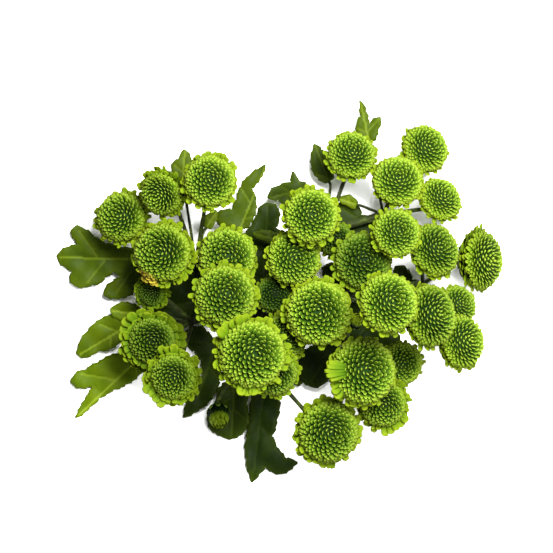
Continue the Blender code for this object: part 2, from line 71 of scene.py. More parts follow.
# Pixel of the middle, radius in pixels, lean right and up the picture, the share of the radius that the
# quilled dome takes up, how yellow the head is, and its painted light, lower on heads deeper in shade.
HEADS = {
    "bloom_19": (482, 260, 33, 0.86, 0.02, 0.86, 0.55, 1.0),
    "bloom_31": (336, 240, 19.5, 0.00, 0.00, 0.84, 0.00, 0.40),
    "bloom_09": (274, 294, 20, 0.15, 0.00, 0.84, 0.05, 0.22),
    "bloom_05": (151, 293, 19, -0.15, -0.25, 0.64, 0.30, 0.35),
    "bloom_23": (458.5, 305.5, 22.5, 0.50, 0.25, 0.85, 0.40, 0.9),
    "bloom_30": (284, 337, 26, 0.20, 0.15, 0.82, 0.45, 0.65),
    "bloom_32": (275, 373, 26.5, 0.20, -0.20, 0.80, 0.50, 0.65),
    "bloom_28": (151, 341, 33, 0.08, -0.06, 0.68, 0.60, 0.50),
    "bloom_01": (120.5, 217, 29, -0.27, 0.21, 0.82, 0.50, 0.95),
    "bloom_14": (426, 148, 26.5, 0.42, 0.28, 0.87, 0.50, 1.05),
    "bloom_13": (352, 155, 27, 0.06, 0.36, 0.85, 0.50, 1.00),
    "bloom_02": (161.5, 193.5, 27, -0.40, -0.30, 0.76, 0.50, 1.0),
    "bloom_33": (461.5, 342, 30, 0.70, 0.08, 0.86, 0.50, 1.0),
    "bloom_27": (402, 364, 23.5, 0.20, -0.10, 0.85, 0.40, 1.15),
    "bloom_26": (383, 404, 28.5, 0.10, -0.20, 0.78, 0.55, 0.85),
    "bloom_25": (328, 432, 35.5, 0.25, -0.08, 0.82, 0.55, 0.80),
    "bloom_20": (363, 261, 31.5, 0.19, 0.10, 0.85, 0.10, 0.52),
    "bloom_10": (294, 258, 29.5, 0.28, -0.03, 0.87, 0.55, 1.0),
    "bloom_06": (227, 257, 31.5, 0.00, 0.06, 0.85, 0.45, 0.95),
    "bloom_16": (441, 199, 24.5, 0.42, 0.42, 0.87, 0.50, 1.1),
    "bloom_18": (434.5, 250, 29.5, 0.52, 0.28, 0.87, 0.50, 0.80),
    "bloom_22": (428.5, 315.5, 34, 0.72, 0.10, 0.87, 0.45, 0.80),
    "bloom_29": (173, 377, 29.5, -0.05, -0.08, 0.72, 0.60, 0.70),
    "bloom_15": (398, 181, 27.5, 0.09, 0.32, 0.87, 0.50, 1.1),
    "bloom_03": (210, 181, 29.5, 0.05, 0.10, 0.82, 0.55, 1.00),
    "bloom_04": (162.5, 253, 33.5, -0.23, 0.09, 0.82, 0.60, 0.90),
    "bloom_17": (396, 233, 26.5, 0.27, 0.16, 0.85, 0.50, 1.0),
    "bloom_11": (311, 216, 30.5, 0.18, 0.09, 0.84, 0.55, 1.05),
    "bloom_12": (318.5, 313, 35.5, 0.00, 0.04, 0.86, 0.55, 1.05),
    "bloom_07": (225, 296, 34.5, 0.14, 0.12, 0.82, 0.55, 0.85),
    "bloom_21": (387, 303, 32.5, 0.38, 0.13, 0.87, 0.50, 0.95),
    "bloom_24": (363, 371, 36, 0.33, 0.02, 0.87, 0.50, 0.95),
    "bloom_08": (252, 354, 38.5, 0.25, -0.04, 0.82, 0.55, 0.95),
}
HEAD_ON_SURFACE = "bloom_19"


def place(x, y):
    return np.array(((x - MIDDLE_PX[0]) * SCALE, (MIDDLE_PX[1] - y) * SCALE))


def axis_of(lean_x, lean_y):
    return np.array((lean_x, lean_y, math.sqrt(1.0 - lean_x ** 2 - lean_y ** 2)))


def half_extent(axis, radius, ways):
    wide = HEAD_CLEARANCE * radius
    thick = wide * HEAD_FLATNESS
    along = ways @ axis
    return np.sqrt(wide ** 2 * (1.0 - along ** 2) + thick ** 2 * along ** 2)


def upward_ways(count):
    steps = np.arange(count) + 0.5
    height = steps / count
    turn = steps * GOLDEN_TURN
    wide = np.sqrt(1.0 - height ** 2)
    return np.stack((wide * np.cos(turn), wide * np.sin(turn), height), axis=1)


def settle_heads():
    ways = upward_ways(1500)
    settled = {}
    for name, (px, py, radius_px, lean_x, lean_y, _, _, _) in HEADS.items():
        spot = place(px, py)
        radius = radius_px * SCALE
        axis = axis_of(lean_x, lean_y)
        reach = half_extent(axis, radius, ways)
        down = half_extent(axis, radius, UP[None, :])[0]
        from_middle = math.dist((px, py), LIFT_CENTRE_PX) / LIFT_REACH_PX
        lift = LIFT_RIM + LIFT_MIDDLE * max(0.0, 1.0 - from_middle ** 2)
        if name == HEAD_ON_SURFACE:
            lift = -SURFACE_SINK
        height = lift + down
        for other_spot, other_radius, other_axis in settled.values():
            apart = spot - other_spot[:2]
            if np.hypot(*apart) > HEAD_CLEARANCE * (radius + other_radius):
                continue
            other_reach = half_extent(other_axis, other_radius, ways)
            rise = (reach + other_reach - ways[:, :2] @ apart) / ways[:, 2]
            height = max(height, other_spot[2] + rise.min())
        settled[name] = (np.array((spot[0], spot[1], height)), radius, axis)
    return settled


def spokes(turn):
    """Unit ways outward at these turns round the head's axis, and the ways along its rim there."""
    flat = np.zeros(len(turn))
    outward = np.stack((np.cos(turn), np.sin(turn), flat), axis=1)
    along_rim = np.stack((-np.sin(turn), np.cos(turn), flat), axis=1)
    return outward, along_rim


def draw_each(rng, low, high, count):
    return np.array([rng.uniform(low, high) for _ in range(count)])


class PetalHeap:
    """Collects petals as arrays and turns them all into one mesh with its petal attributes."""

    def __init__(self):
        self.points = []
        self.faces = []
        self.rise = []
        self.draw = []
        self.ray = []
        self.total = 0

    def add(self, points, faces, rise, draw, ray):
        self.points.append(points)
        self.faces.extend(tuple(corner + self.total for corner in face) for face in faces)
        self.rise.append(rise)
        self.draw.append(draw)
        self.ray.append(ray)
        self.total += len(points)

    def stand(self, spot, axis):
        """Turn everything from +Z to the axis and move it to its spot."""
        turn = np.array(Vector((0.0, 0.0, 1.0)).rotation_difference(Vector(axis)).to_matrix())
        self.points = [block @ turn.T + spot for block in self.points]

    def mesh(self, name, yellow=0.5, tone=1.0):
        made = bpy.data.meshes.new(name)
        points = np.concatenate(self.points)
        made.from_pydata(points.tolist(), [], self.faces)
        for key in ("rise", "draw", "ray"):
            layer = made.attributes.new(key, "FLOAT", "POINT")
            layer.data.foreach_set("value", np.concatenate(getattr(self, key)).astype(np.float32))
        for key, value in (("yellow", yellow), ("tone", tone)):
            layer = made.attributes.new(key, "FLOAT", "POINT")
            layer.data.foreach_set("value", np.full(len(points), value, dtype=np.float32))
        made.shade_smooth()
        return made


def petal_faces(columns, rings):
    """Faces of one petal: closed rings of outer and inner columns, ending in one shared row."""
    around = 2 * columns - 2
    faces = [tuple(reversed(range(around)))]
    for ring in range(rings - 1):
        for step in range(around):
            after = (step + 1) % around
            low = ring * around
            high = low + around
            faces.append((low + step, low + after, high + after, high + step))
    low = (rings - 1) * around
    high = rings * around
    for step in range(columns - 1):
        faces.append((low + step, low + step + 1, high + step + 1, high + step))
    inner = [0] + list(range(around - 1, columns - 1, -1)) + [columns - 1]
    for step in range(columns - 1):
        faces.append((low + inner[step + 1], low + inner[step], high + step, high + step + 1))
    return faces


def grow_petals(heap, root, bend, tip, side, half_width, rows, columns, cup, thick, round_end, notch,
                draws, ray, bright=0.0):
    """Petals along quadratic curves from root over bend to tip, with gutter-shaped sections.

    rows holds (place along the petal, share of the width) pairs, and the last one is the tip's row.
    bright lifts the rise value of each petal, for the closed ones that show their backs."""
    across = np.linspace(-1.0, 1.0, columns)
    count = len(root)
    blocks = []
    rises = []
    for number, (v, share) in enumerate(rows):
        spine = (1 - v) ** 2 * root + 2 * (1 - v) * v * bend + v ** 2 * tip
        run = 2 * (1 - v) * (bend - root) + 2 * v * (tip - bend)
        run = run / np.linalg.norm(run, axis=1, keepdims=True)
        back = np.cross(side, run)
        wide = (half_width * share)[:, None]
        deep = cup * (0.35 + 0.65 * v)
        is_last = number == len(rows) - 1
        pieces = []
        for q in across:
            slide = -round_end * v ** 3 * q ** 2 * wide - (notch * (1 - abs(q)) * wide if is_last else 0.0)
            pieces.append(spine + side * q * wide - back * deep * q ** 2 * wide + run * slide)
        if not is_last:
            for q in across[-2:0:-1]:
                slide = -round_end * v ** 3 * q ** 2 * wide
                body = thick * (1.0 - q ** 2) * (1.0 - 0.5 * v)
                pieces.append(spine + side * q * wide * 0.9 - back * (deep * q ** 2 + body) * wide
                              + run * slide)
        blocks.append(np.stack(pieces, axis=1))
        lifted = v + (1.0 - v) * np.broadcast_to(bright, count)
        rises.append(np.repeat(lifted[:, None], len(pieces), axis=1))
    points = np.concatenate(blocks, axis=1)
    per_petal = points.shape[1]
    pattern = petal_faces(columns, len(rows) - 1)
    faces = []
    for index in range(count):
        start = index * per_petal
        faces.extend(tuple(start + corner for corner in face) for face in pattern)
    heap.add(points.reshape(-1, 3), faces, np.concatenate(rises, axis=1).reshape(-1),
             np.repeat(draws, per_petal), np.repeat(np.broadcast_to(ray, count), per_petal))


QUILL_ROWS = ((0.0, 0.60), (0.55, 0.92), (0.84, 1.0), (1.0, 0.62))


def turned_body(heap, profile, segments, rise):
    """A body turned round the head's axis, from (radius, height) pairs, top to bottom."""
    points = []
    for wide, height in profile:
        for step in range(segments):
            phi = 2.0 * math.pi * step / segments
            points.append((wide * math.cos(phi), wide * math.sin(phi), height))
    faces = []
    for ring in range(len(profile) - 1):
        for step in range(segments):
            after = (step + 1) % segments
            faces.append((ring * segments + step, (ring + 1) * segments + step,
                          (ring + 1) * segments + after, ring * segments + after))
    faces.append(tuple(range(segments)))
    faces.append(tuple(reversed(range((len(profile) - 1) * segments, len(profile) * segments))))
    total = len(points)
    heap.add(np.array(points), faces, np.full(total, rise), np.full(total, 0.5), np.zeros(total))


def big_rays(heap, radius, rng, middle, spread, count, reach, half, height):
    """The overgrown ray petals at one side of a head; middle and spread are turns in degrees."""
    turn = np.radians(middle + spread * (np.arange(count) / max(1, count - 1) - 0.5))
    radial, side = spokes(turn)
    far = draw_each(rng, 0.88, 1.0, count)[:, None] * reach * radius
    lift = draw_each(rng, 0.04, 0.16, count)[:, None] * radius
    root = radial * 0.50 * radius + UP * (height - 0.08) * radius
    bend = radial * 0.85 * radius + UP * (height + 0.02) * radius
    tip = radial * far + UP * (lift + 0.6 * height * radius)
    draws = draw_each(rng, 0.0, 1.0, count)
    grow_petals(heap, root, bend, tip, side, np.full(count, half * radius),
                ((0.0, 0.35), (0.35, 0.65), (0.70, 1.0), (0.90, 0.95), (1.0, 0.60)),
                5, 0.40, 0.14, 0.60, 0.40, draws, 1.0)


def make_head(radius, dome, rng):
    """One head in its own frame, its axis along +Z."""
    heap = PetalHeap()
    wide = (dome + 0.03) * radius
    tall = HEAD_FLATNESS * radius
    florets = int(FLORET_COUNT * (wide / (27 * SCALE)) ** 0.8)
    reach = math.radians(97.0)
    share = (np.arange(florets) + 0.5) / florets
    power = 0.57
    theta = reach * share ** power
    turn = np.arange(florets) * GOLDEN_TURN + rng.uniform(0.0, 6.28)
    turn += draw_each(rng, -0.05, 0.05, florets)
    steps = reach * power * share ** (power - 1.0) / florets
    pitch = np.sqrt(2.0 * math.pi * wide * 0.5 * (wide + tall) * np.sin(theta) * steps)
    radial, side = spokes(turn)
    jitter = 1.0 + draw_each(rng, -0.035, 0.035, florets)
    tip = (radial * (wide * np.sin(theta))[:, None] + UP * (tall * np.cos(theta))[:, None])
    tip = tip * jitter[:, None]
    inner = 0.80 * theta
    root = (radial * (0.64 * wide * np.sin(inner))[:, None]
            + UP * (0.70 * tall * np.cos(inner) - 0.04 * radius)[:, None])
    normal = radial * (np.sin(theta) / wide)[:, None] + UP * (np.cos(theta) / tall)[:, None]
    normal = normal / np.linalg.norm(normal, axis=1, keepdims=True)
    outward = radial * np.cos(theta)[:, None] - UP * np.sin(theta)[:, None]
    hook = np.interp(np.degrees(theta), (0.0, 25.0, 50.0, 70.0, 84.0, 97.0),
                     (1.5, 1.3, 0.8, 0.3, -0.2, -0.9))
    final_way = normal - outward * hook[:, None]
    final_way = final_way / np.linalg.norm(final_way, axis=1, keepdims=True)
    length = np.linalg.norm(tip - root, axis=1, keepdims=True)
    bend = tip - final_way * length * 0.55
    draws = draw_each(rng, 0.0, 1.0, florets)
    closed = np.interp(np.degrees(theta), (0.0, 12.0, 35.0), (0.60, 0.45, 0.0))
    quill = 0.50 * pitch * draw_each(rng, 0.88, 1.08, florets)
    open_rim = np.interp(np.degrees(theta), (52.0, 90.0), (0.0, 0.50))
    grow_petals(heap, root, bend, tip, side, quill, QUILL_ROWS, 5, 0.90, 0.70, 0.75, 0.0, draws, open_rim,
                closed)

    row_count = 2 if dome > 0.75 else 3
    for row in range(row_count):
        petals = int((30 if row == 0 else 33) * (radius / (30 * SCALE)) ** 0.4)
        turn = (np.arange(petals) + 0.5 * row) * 2.0 * math.pi / petals
        turn += draw_each(rng, -0.06, 0.06, petals)
        radial, side = spokes(turn)
        far = draw_each(rng, 0.90, 1.08, petals)[:, None] * radius
        far = far * (1.0 - 0.09 * (row_count - 1 - row))
        lift = draw_each(rng, -0.10, 0.12, petals)[:, None] * radius
        sway = draw_each(rng, -0.07, 0.07, petals)[:, None] * radius
        start_height = (0.05 - 0.14 * row) * radius if row_count == 3 else (-0.06 - 0.14 * row) * radius
        end_height = start_height + (0.06 + 0.03 * row) * radius
        root = radial * 0.50 * radius + UP * start_height
        tip = radial * far + side * sway + UP * (end_height + lift)
        bend = radial * 0.80 * radius + side * 0.3 * sway + UP * (start_height + 0.01 * radius)
        widest = 0.152 if row_count == 3 else 0.134
        half = draw_each(rng, 0.60 * widest, widest, petals) * radius
        draws = draw_each(rng, 0.0, 1.0, petals)
        grow_petals(heap, root, bend, tip, side, half,
                    ((0.0, 0.45), (0.40, 0.78), (0.74, 1.0), (0.92, 0.86), (1.0, 0.50)),
                    5, 0.20, 0.10, 0.50, 0.50, draws, 1.0)

    lower = int(20 * (radius / (30 * SCALE)) ** 0.4)
    radial, side = spokes((np.arange(lower) + 0.25) * 2.0 * math.pi / lower)
    root = radial * 0.22 * radius - UP * 0.55 * radius
    bend = radial * 0.66 * radius - UP * 0.50 * radius
    tip = radial * 0.88 * radius - UP * 0.17 * radius
    grow_petals(heap, root, bend, tip, side, np.full(lower, 0.125 * radius),
                ((0.0, 0.35), (0.40, 0.85), (0.80, 1.0), (1.0, 0.66)),
                5, 0.25, 0.16, 0.6, 0.2, draw_each(rng, 0.0, 1.0, lower), 1.0)
    core = [(0.02, 0.75), (0.22, 0.73), (0.40, 0.66), (0.56, 0.53), (0.68, 0.34), (0.73, 0.10),
            (0.72, -0.20), (0.62, -0.48), (0.45, -0.74), (0.25, -0.92), (0.19, -0.99)]
    turned_body(heap, [(a * wide, b * tall) for a, b in core], 24, 0.30)
    calyx = 11
    radial, side = spokes(np.arange(calyx) * 2.0 * math.pi / calyx + rng.uniform(0.0, 0.5))
    root = radial * 0.16 * radius - UP * 0.98 * tall
    bend = radial * 0.50 * radius - UP * 0.99 * tall
    tip = radial * 0.62 * radius - UP * 0.72 * tall
    grow_petals(heap, root, bend, tip, side, np.full(calyx, 0.10 * radius), QUILL_ROWS,
                5, 0.25, 0.20, 0.6, 0.0, np.full(calyx, 0.5), 0.0)
    return heap


def node(tree, kind, **values):
    made = tree.nodes.new(kind)
    for key, value in values.items():
        setattr(made, key, value)
    return made


def attribute(tree, name):
    return node(tree, "ShaderNodeAttribute", attribute_name=name).outputs["Fac"]


def ramp(tree, source, stops):
    made = node(tree, "ShaderNodeValToRGB")
    while len(made.color_ramp.elements) < len(stops):
        made.color_ramp.elements.new(0.5)
    for element, (spot, colour) in zip(made.color_ramp.elements, stops):
        element.position = spot
        element.color = (*colour, 1.0)
    tree.links.new(source, made.inputs["Fac"])
    return made.outputs["Color"]


def blend_colours(tree, factor, first, second, mode="MIX"):
    made = node(tree, "ShaderNodeMix", data_type="RGBA", blend_type=mode)
    for socket, value in ((made.inputs[0], factor), (made.inputs[6], first), (made.inputs[7], second)):
        if isinstance(value, bpy.types.NodeSocket):
            tree.links.new(value, socket)
        else:
            socket.default_value = value
    return made.outputs[2]


def math_node(tree, operation, first, second):
    made = node(tree, "ShaderNodeMath", operation=operation)
    made.use_clamp = True
    for socket, value in ((made.inputs[0], first), (made.inputs[1], second)):
        if isinstance(value, bpy.types.NodeSocket):
            tree.links.new(value, socket)
        else:
            socket.default_value = value
    return made.outputs[0]


def new_material(name):
    made = bpy.data.materials.new(name)
    made.use_nodes = True
    tree = made.node_tree
    return made, tree, tree.nodes["Principled BSDF"]


def petal_material(name):
    """Waxy petal: dark at the root, partly its own deeper green and partly painted shade between the
    florets, clear green along the quill, pale at the tip, yellow-green rays, and painted shade over the
    quills of heads with little painted light.
    """
    made, tree, shader = new_material(name)
    rise = attribute(tree, "rise")
    # The near-black root end of both ramps is partly the florets' own deeper green and partly painted shade
    # down in the gaps between them.
    quill = ramp(tree, rise, (
        (0.0, (0.002, 0.006, 0.001)), (0.40, (0.007, 0.024, 0.001)), (0.78, (0.055, 0.110, 0.003)),
        (1.0, (0.190, 0.245, 0.030))))
    flat = ramp(tree, rise, (
        (0.0, (0.012, 0.036, 0.001)), (0.55, (0.048, 0.090, 0.001)), (1.0, (0.104, 0.140, 0.004))))
    colour = blend_colours(tree, attribute(tree, "ray"), quill, flat)
    warm = blend_colours(tree, math_node(tree, "MULTIPLY", attribute(tree, "yellow"), 0.45), colour,
                         (1.0, 0.88, 0.35, 1.0), "MULTIPLY")
    draw = math_node(tree, "MULTIPLY", attribute(tree, "draw"), 0.40)
    varied = blend_colours(tree, draw, warm, (0.50, 0.72, 0.45, 1.0), "MULTIPLY")
    wilted = math_node(tree, "LESS_THAN", attribute(tree, "draw"), -0.5)
    varied = blend_colours(tree, math_node(tree, "MULTIPLY", wilted, 0.75), varied, (0.26, 0.19, 0.02, 1.0))
    # Painted shade: the quills of heads with little painted light are multiplied towards deep green, the
    # flat rays much less.
    quilled = math_node(tree, "SUBTRACT", 1.0, math_node(tree, "MULTIPLY", attribute(tree, "ray"), 0.6))
    shade = math_node(tree, "MULTIPLY", math_node(tree, "SUBTRACT", 1.15, attribute(tree, "tone")), quilled)
    shaded = blend_colours(tree, shade, varied, (0.10, 0.16, 0.08, 1.0), "MULTIPLY")
    tree.links.new(shaded, shader.inputs["Base Color"])
    coords = node(tree, "ShaderNodeTexCoord")
    streaks = node(tree, "ShaderNodeTexNoise")
    streaks.inputs["Scale"].default_value = 900.0
    tree.links.new(coords.outputs["Object"], streaks.inputs["Vector"])
    bump = node(tree, "ShaderNodeBump")
    bump.inputs["Strength"].default_value = 0.18
    bump.inputs["Distance"].default_value = 0.0002
    tree.links.new(streaks.outputs["Fac"], bump.inputs["Height"])
    tree.links.new(bump.outputs["Normal"], shader.inputs["Normal"])
    shader.inputs["Roughness"].default_value = 0.70
    shader.inputs["Specular IOR Level"].default_value = 0.04
    return made


def show(name, mesh, material):
    mesh.materials.append(material)
    made = bpy.data.objects.new(name, mesh)
    bpy.context.scene.collection.objects.link(made)
    return made


def wilt(heap, spot, away, reach):
    """Yellow the petals near a place, as on the bruised head and on the oldest rays of another."""
    for number, block in enumerate(heap.points):
        near = np.linalg.norm(block - (spot + away), axis=1) < reach
        heap.draw[number] = np.where(near, -1.0, heap.draw[number])


# The two heads with yellowed petals: where, as an offset from the head's middle, and how far round it.
WILTED = {
    "bloom_07": (np.array((0.004, 0.0135, 0.010)), 0.0028),
    "bloom_04": (np.array((-0.011, -0.018, -0.002)), 0.0085),
}

# Heads with overgrown rays: turn of their middle and their spread in degrees, how many, and then how far
# out they reach, half their width and how high they stand on the dome, as shares of the head's radius.
BIG_RAYS = {
    "bloom_24": ((180.0, 25.0, 5, 1.26, 0.070, 0.40), (206.0, 26.0, 4, 1.20, 0.14, 0.10)),
    "bloom_19": ((104.0, 12.0, 2, 1.18, 0.11, 0.0),),
    "bloom_08": ((128.0, 34.0, 4, 1.16, 0.15, 0.0), (262.0, 20.0, 3, 1.12, 0.14, 0.0)),
    "bloom_28": ((150.0, 40.0, 4, 1.16, 0.17, 0.0), (10.0, 30.0, 3, 1.14, 0.15, 0.0)),
    "bloom_29": ((100.0, 24.0, 3, 1.18, 0.16, 0.0), (225.0, 40.0, 4, 1.16, 0.16, 0.0)),
    "bloom_26": ((300.0, 50.0, 5, 1.16, 0.15, 0.0),),
}

petal_look = petal_material("petal_green")
heads = settle_heads()
for name, (spot, radius, axis) in heads.items():
    dome, yellow, tone = HEADS[name][5:]
    head_name = name.replace("bloom", "head")
    rng = random.Random(name)
    heap = make_head(HEAD_SPREAD * radius, dome, rng)
    for group in BIG_RAYS.get(name, ()):
        big_rays(heap, HEAD_SPREAD * radius, rng, *group)
    heap.stand(spot, axis)
    if name == HEAD_ON_SURFACE:
        for block in heap.points:
            np.maximum(block[:, 2], SURFACE_GAP, out=block[:, 2])
    if name in WILTED:
        wilt(heap, spot, *WILTED[name])
    head = show(head_name, heap.mesh(head_name, yellow, tone), petal_look)
    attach(head, "root")
    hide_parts(name)


# The two buds, still closed: a knob of overlapping petals in a cup of dark bracts. One hangs over the
# edge at the front with its petals pointing out, and the other sits small and yellow among the heads.
BUDS = {
    "bud_1": (218, 417, 13, 0.10, -0.70, 0.016),
    "bud_2": (357, 321, 9, 0.25, 0.30, 0.045),
}


def ring_of_petals(heap, count, turn_by, radius, low, middle, high, half, rows, cup, thick, rng, ray):
    """One whorl of petals; low, middle and high are (radius, height) shares of the bud's radius."""
    radial, side = spokes((np.arange(count) + turn_by) * 2.0 * math.pi / count)
    points = [(radial * wide + UP * tall) * radius for wide, tall in (low, middle, high)]
    draws = draw_each(rng, 0.0, 1.0, count)
    grow_petals(heap, points[0], points[1], points[2], side, np.full(count, half * radius), rows, 5,
                cup, thick, 0.7, 0.0, draws, ray)


bud_rows = ((0.0, 0.50), (0.40, 0.95), (0.78, 1.0), (1.0, 0.45))
for name, (px, py, radius_px, lean_x, lean_y, height) in BUDS.items():
    rng = random.Random(name)
    radius = radius_px * SCALE
    heap = PetalHeap()
    ring_of_petals(heap, 10, 0.0, radius, (0.30, -0.75), (1.20, -0.10), (0.55, 0.90), 0.34, bud_rows,
                   0.45, 0.3, rng, 1.0)
    ring_of_petals(heap, 9, 0.5, radius, (0.25, -0.70), (0.95, 0.20), (0.30, 1.05), 0.30, bud_rows,
                   0.5, 0.3, rng, 1.0)
    ring_of_petals(heap, 6, 0.2, radius, (0.15, -0.40), (0.60, 0.50), (0.08, 1.10), 0.24, bud_rows,
                   0.5, 0.3, rng, 1.0)
    ring_of_petals(heap, 9, 0.3, radius, (0.20, -1.00), (0.98, -0.85), (0.96, -0.10), 0.26, bud_rows,
                   0.3, 0.2, rng, 0.0)
    turned_body(heap, [(a * radius, b * radius) for a, b in (
        (0.10, 0.85), (0.50, 0.70), (0.76, 0.30), (0.80, -0.20), (0.62, -0.70), (0.30, -0.98))], 18, 0.2)
    heap.stand(np.array((*place(px, py), height)), axis_of(lean_x, lean_y))
    # The buds take a painted light of 0.65, which lays painted shade over them, most on the bracts.
    bud = show(name + "_petals", heap.mesh(name + "_petals", 0.3, 0.65), petal_look)
    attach(bud, "root")
    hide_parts(name)


# The stem: one woody main stalk cut square under its first fork, limbs, a ribbed green stalk to each head
# and bud, and a plain one to each leaf. Each stalk bends clear of the heads in its way, and those to heads
# and buds swell into the calyx.
FORKS = {
    "cut": (262, 302, 0.000),
    "trunk": (262, 302, 0.011),
    "left": (195, 262, 0.017),
    "lower_left": (192, 322, 0.013),
    "front": (250, 350, 0.015),
    "right": (338, 296, 0.021),
    "upper": (326, 232, 0.024),
    "upper_right": (384, 214, 0.026),
    "far_right": (424, 284, 0.020),
    "lower_right": (350, 352, 0.018),
}
LIMBS = (
    ("trunk", "left"),
    ("trunk", "lower_left"),
    ("trunk", "front"),
    ("trunk", "right"),
    ("trunk", "upper"),
    ("upper", "upper_right"),
    ("right", "far_right"),
    ("right", "lower_right"),
)
STALKS = {
    "left": ("bloom_01", "bloom_02", "bloom_03", "bloom_04", "bloom_06"),
    "lower_left": ("bloom_05", "bloom_28", "bloom_29", "bloom_07"),
    "front": ("bloom_08", "bloom_32", "bloom_25", "bud_1", "bloom_30"),
    "right": ("bloom_12", "bloom_21", "bloom_20", "bloom_09", "bud_2"),
    "upper": ("bloom_10", "bloom_11", "bloom_31", "bloom_13"),
    "upper_right": ("bloom_14", "bloom_15", "bloom_16", "bloom_17"),
    "far_right": ("bloom_18", "bloom_19", "bloom_22", "bloom_23", "bloom_33"),
    "lower_right": ("bloom_24", "bloom_26", "bloom_27"),
}
STALK_RADIUS = 0.0013
LIMB_RADIUS = 0.0024
PETIOLE_RADIUS = 0.0009
SEAT_GAP = 0.0003


def clear_route(points, obstacles, radius, own):
    """Bend a route clear of the heads and the surface, with both its ends left where they are."""
    route = np.array(points)
    last = len(route) - 2
    for _ in range(120):
        middle = 0.5 * (route[:-2] + route[2:])
        route[1:-1] += 0.25 * (middle - route[1:-1])
        route[last] = points[last]
        for name, (spot, head_radius, axis) in obstacles.items():
            wide = HEAD_CLEARANCE * head_radius + radius + 0.0008
            thick = HEAD_CLEARANCE * HEAD_FLATNESS * head_radius + radius + 0.0008
            for index in range(1, last):
                rel = route[index] - spot
                along = rel @ axis
                side = rel - along * axis
                depth = math.sqrt((along / thick) ** 2 + (side @ side) / wide ** 2)
                if depth < 1.0:
                    push = side / wide ** 2 + along * axis / thick ** 2
                    push[2] = min(push[2], 0.0) if name == own else push[2]
                    route[index] += push / np.linalg.norm(push) * (1.0 - depth) * thick
        route[1:-1, 2] = np.maximum(route[1:-1, 2], radius + 0.0006)
    return route


def curve_between(start, end, way, count):
    span = np.linalg.norm(end - start)
    lead = start + np.array((0.0, 0.0, 0.25 * span))
    follow = end - way * 0.35 * span
    points = []
    for step in range(count):
        t = step / (count - 1)
        points.append((1 - t) ** 3 * start + 3 * (1 - t) ** 2 * t * lead
                      + 3 * (1 - t) * t ** 2 * follow + t ** 3 * end)
    return points


def smooth_path(points, between):
    """A finer path through the same points, as a spline."""
    points = np.array(points)
    padded = np.vstack((2 * points[0] - points[1], points, 2 * points[-1] - points[-2]))
    fine = []
    for index in range(len(points) - 1):
        a, b, c, d = padded[index:index + 4]
        for step in range(between):
            t = step / between
            fine.append(0.5 * (2 * b + (c - a) * t + (2 * a - 5 * b + 4 * c - d) * t ** 2
                               + (3 * b - a - 3 * c + d) * t ** 3))
    fine.append(points[-1])
    return np.array(fine)


def ribbed_tube(heap, path, radii, sides, ribs):
    """A tube with shallow lengthwise ribs, closed at both ends."""
    side_way = Vector((1.0, 0.0, 0.0))
    points = []
    for index, point in enumerate(path):
        way = Vector(path[min(index + 1, len(path) - 1)] - path[max(index - 1, 0)]).normalized()
        side_way = (side_way - way * side_way.dot(way)).normalized()
        up_way = way.cross(side_way)
        for step in range(sides):
            phi = 2.0 * math.pi * step / sides
            reach = radii[index] * (1.0 + (0.07 if step % 2 and ribs else 0.0))
            points.append(Vector(point) + (side_way * math.cos(phi) + up_way * math.sin(phi)) * reach)
    faces = [tuple(reversed(range(sides)))]
    for ring in range(len(path) - 1):
        for step in range(sides):
            after = (step + 1) % sides
            low = ring * sides
            faces.append((low + step, low + after, low + sides + after, low + sides + step))
    faces.append(tuple(range((len(path) - 1) * sides, len(path) * sides)))
    total = len(points)
    heap.add(np.array(points), faces, np.full(total, 0.5), np.full(total, 0.5), np.zeros(total))


def fork_at(name):
    px, py, height = FORKS[name]
    return np.array((*place(px, py), height))


def stalk_material(name):
    made, tree, shader = new_material(name)
    coords = node(tree, "ShaderNodeTexCoord")
    noise = node(tree, "ShaderNodeTexNoise")
    noise.inputs["Scale"].default_value = 160.0
    noise.inputs["Detail"].default_value = 4.0
    tree.links.new(coords.outputs["Object"], noise.inputs["Vector"])
    colour = ramp(tree, noise.outputs["Fac"], (
        (0.30, (0.005, 0.007, 0.001)), (0.55, (0.014, 0.020, 0.003)), (0.75, (0.050, 0.075, 0.008))))
    tree.links.new(colour, shader.inputs["Base Color"])
    bump = node(tree, "ShaderNodeBump")
    bump.inputs["Strength"].default_value = 0.3
    bump.inputs["Distance"].default_value = 0.0003
    tree.links.new(noise.outputs["Fac"], bump.inputs["Height"])
    tree.links.new(bump.outputs["Normal"], shader.inputs["Normal"])
    shader.inputs["Roughness"].default_value = 0.6
    shader.inputs["Specular IOR Level"].default_value = 0.08
    return made


bud_spots = {}
for name, (px, py, radius_px, lean_x, lean_y, height) in BUDS.items():
    bud_spots[name] = (np.array((*place(px, py), height)), radius_px * SCALE, axis_of(lean_x, lean_y))
stem_heap = PetalHeap()
foot = fork_at("cut")
crown = fork_at("trunk") + np.array((0.0, 0.0, 0.002))
trunk_path = np.array([foot + (crown - foot) * step / 6 for step in range(7)])
ribbed_tube(stem_heap, trunk_path, [0.0036 - 0.00007 * step for step in range(7)], 16, True)
for start_name, end_name in LIMBS:
    start = fork_at(start_name)
    end = fork_at(end_name)
    path = np.array([start + (end - start) * step / 12 for step in range(13)])
    ribbed_tube(stem_heap, path, [LIMB_RADIUS] * 13, 12, True)
for fork, names in STALKS.items():
    start = fork_at(fork)
    for name in names:
        spot, radius, axis = heads[name] if name in heads else bud_spots[name]
        seat = 0.97 * HEAD_FLATNESS * radius if name in heads else 1.15 * radius * 0.885
        end = spot - axis * (seat + SEAT_GAP)
        neck = end - axis * 0.0035
        points = curve_between(start, neck, axis, 5) + [end]
        obstacles = {key: heads[key] for key in heads if key != name}
        route = clear_route(points, obstacles, STALK_RADIUS, name)
        path = smooth_path(route, 5)
        cup = 0.19 * radius if name in heads else 0.40 * radius
        swell = [0.0] * (len(path) - 5) + [0.06, 0.25, 0.55, 0.85, 1.0]
        ribbed_tube(stem_heap, path, [STALK_RADIUS + (cup - STALK_RADIUS) * s for s in swell], 12, True)
